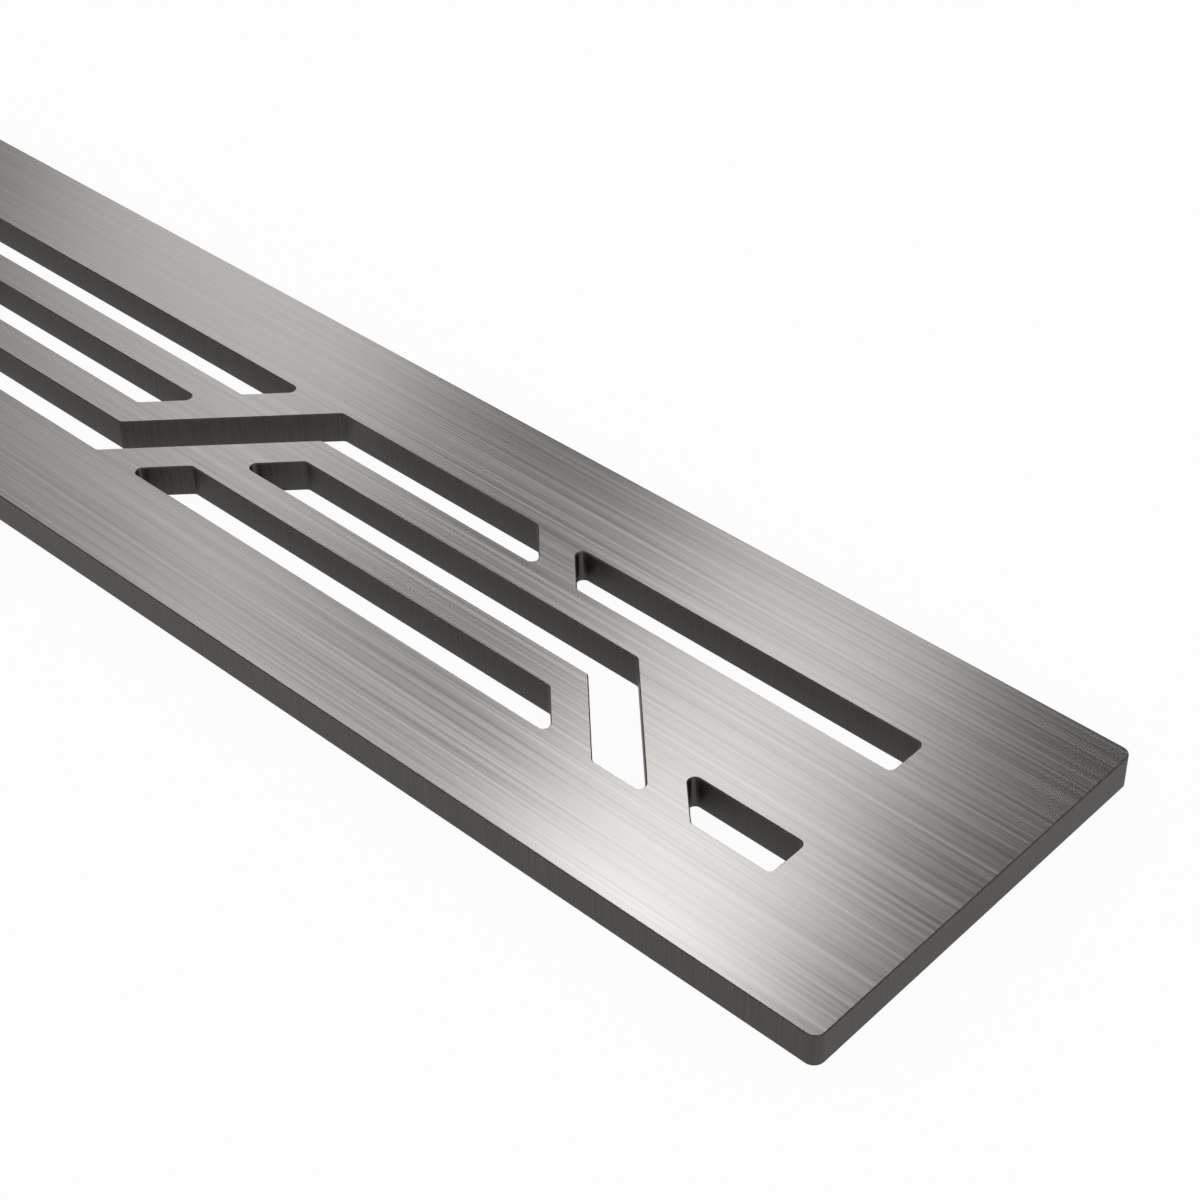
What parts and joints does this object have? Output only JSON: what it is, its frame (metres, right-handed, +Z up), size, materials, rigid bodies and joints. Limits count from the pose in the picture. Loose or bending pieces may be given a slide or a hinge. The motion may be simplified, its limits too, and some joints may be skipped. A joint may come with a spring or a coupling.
{
  "type": "linear shower drain grate",
  "caption": "Flat stainless grate for a linear shower channel, slotted in lanes that step sideways at 45 degrees; water runs through the slots.",
  "frame": {"origin": "middle of the plate's underside, the face that rests on the channel's ledges", "axes": "+X along the plate's length, +Y across its width, +Z up through its thickness to the brushed face"},
  "size_m": [0.5696, 0.06, 0.005],
  "materials": {
    "brushed_stainless": "satin brushed along its length"
  },
  "bodies": {
    "root": {"grate_plate": "brushed_stainless"}
  },
  "joints": []
}
